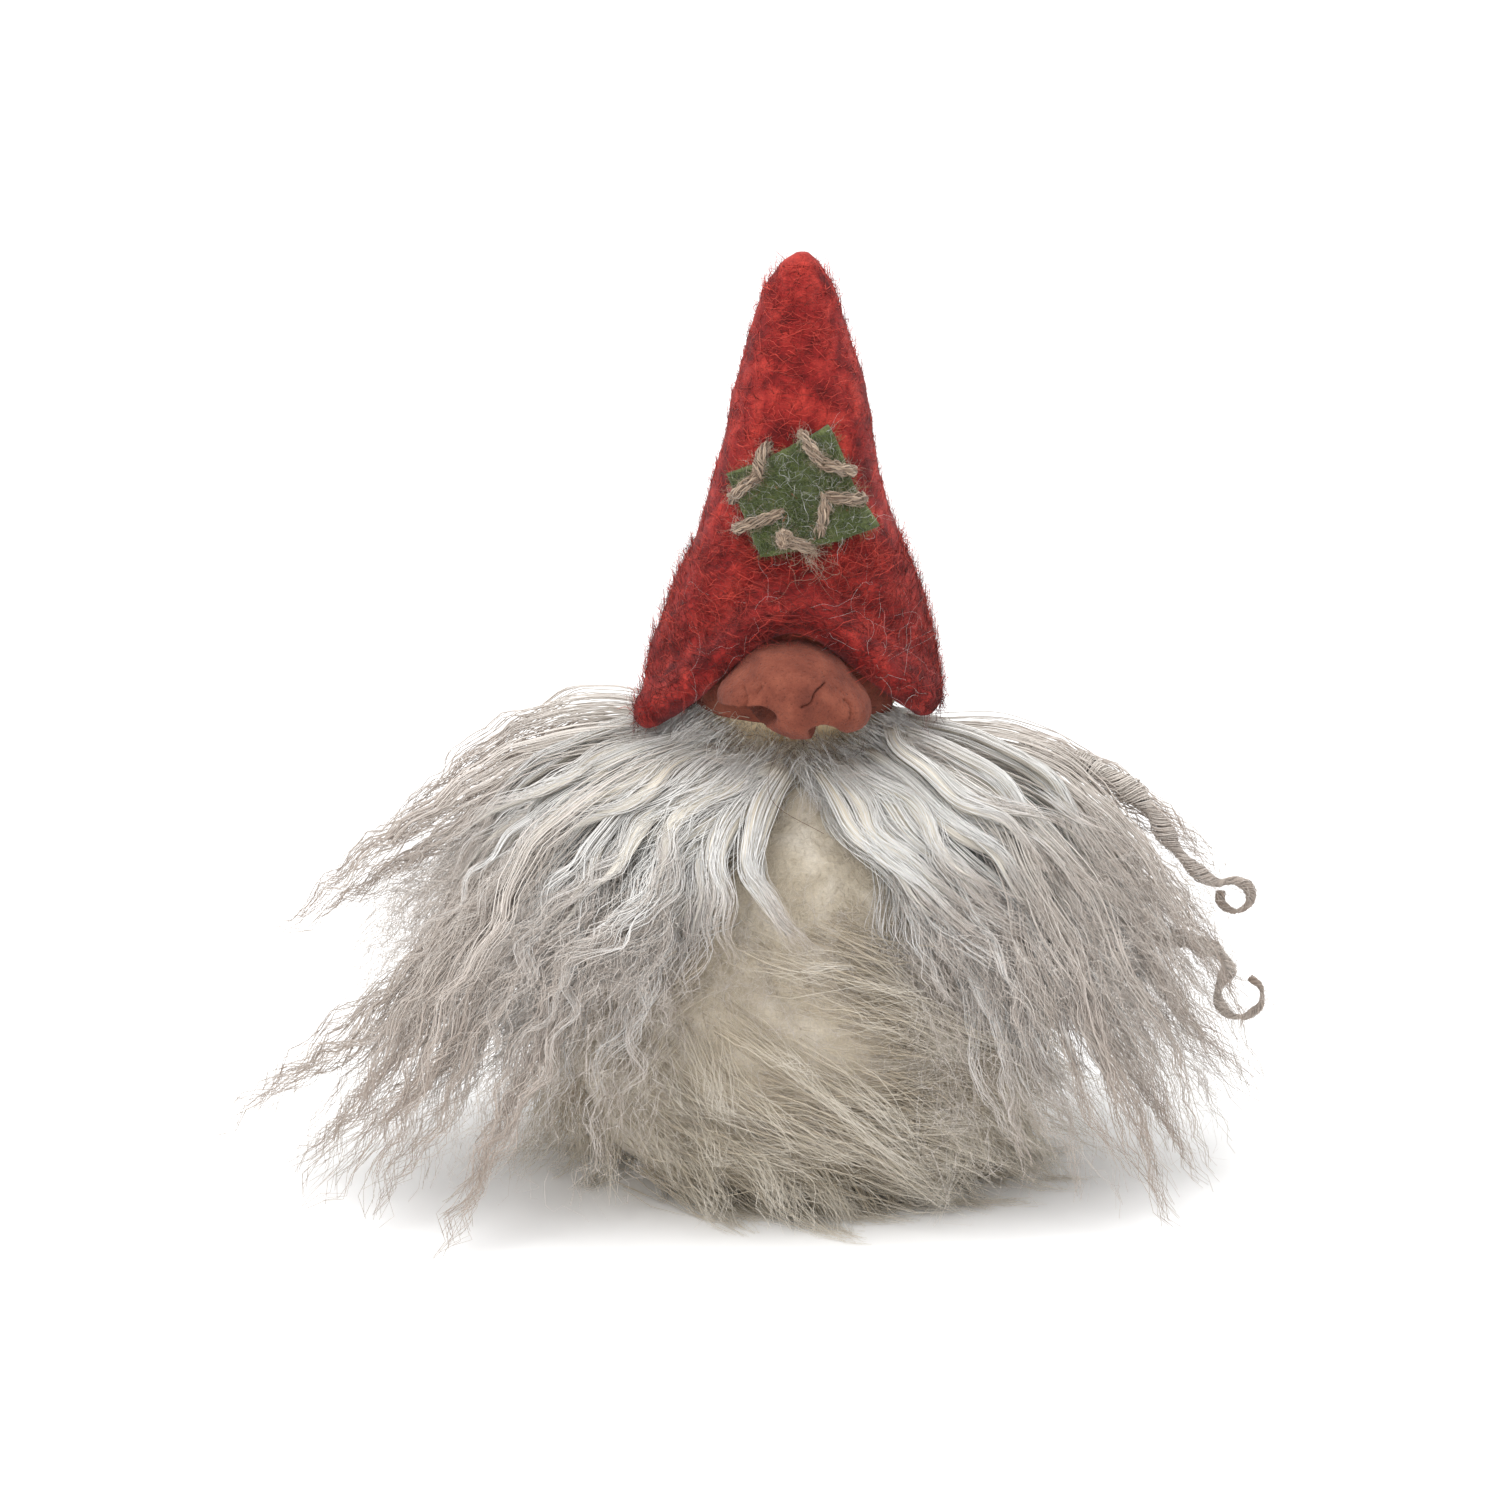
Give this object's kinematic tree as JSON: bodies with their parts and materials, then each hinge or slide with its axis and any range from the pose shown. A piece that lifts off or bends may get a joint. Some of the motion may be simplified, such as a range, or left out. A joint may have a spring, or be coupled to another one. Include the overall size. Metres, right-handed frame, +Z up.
{
  "type": "tomte gnome figurine",
  "caption": "Nordic tomte figurine: felt cone hat pulled over a clay nose, long curly wool locks spreading from the neck, round fleece body that stands on a flat felt sole.",
  "frame": {"origin": "centre of the felt sole's underside, on the surface the figure stands on", "axes": "+Z up through the hat's tip, -Y towards the viewer that the nose faces, +X to that viewer's right"},
  "size_m": [0.1679, 0.1178, 0.1448],
  "materials": {
    "sole_felt": "matte",
    "ballast_gravel": "matte",
    "body_felt": "matte",
    "fleece": "matte",
    "skin_felt": "matte",
    "terracotta": "matte",
    "peg_wood": "matte",
    "curly_wool": "satin",
    "hat_felt": "matte",
    "stuffing_wool": "matte",
    "patch_felt": "matte",
    "jute": "matte"
  },
  "bodies": {
    "figure": {"sole_disc": "sole_felt", "ballast_bag": "ballast_gravel", "body_core": "body_felt", "body_fleece": "fleece", "neck_band": "body_felt", "head_core": "skin_felt", "clay_face": "terracotta", "face_peg": "peg_wood", "wool_right": "curly_wool", "wool_right_rear": "curly_wool", "wool_rear_right": "curly_wool", "wool_rear_left": "curly_wool", "wool_left_rear": "curly_wool", "wool_left": "curly_wool", "wool_left_front": "curly_wool", "beard_left": "curly_wool", "beard_centre_left": "curly_wool", "beard_centre_right": "curly_wool", "beard_right": "curly_wool", "wool_right_front": "curly_wool", "ringlet_upper": "curly_wool", "ringlet_lower": "curly_wool"},
    "hat": {"hat_shell": "hat_felt", "hat_stuffing": "stuffing_wool", "hat_patch": "patch_felt", "stitch_top_left_side": "jute", "stitch_top_left_edge": "jute", "stitch_top_right_side": "jute", "stitch_top_right_edge": "jute", "stitch_low_right_side": "jute", "stitch_low_right_edge": "jute", "stitch_low_left_side": "jute", "stitch_low_left_edge": "jute", "twine_knot": "jute", "twine_inner_runs": "jute"}
  },
  "joints": [
    {"name": "hat_lift", "type": "slide", "parent": "figure", "child": "hat", "axis": [0, 0, 1], "range_m": [0, 0.04]}
  ]
}
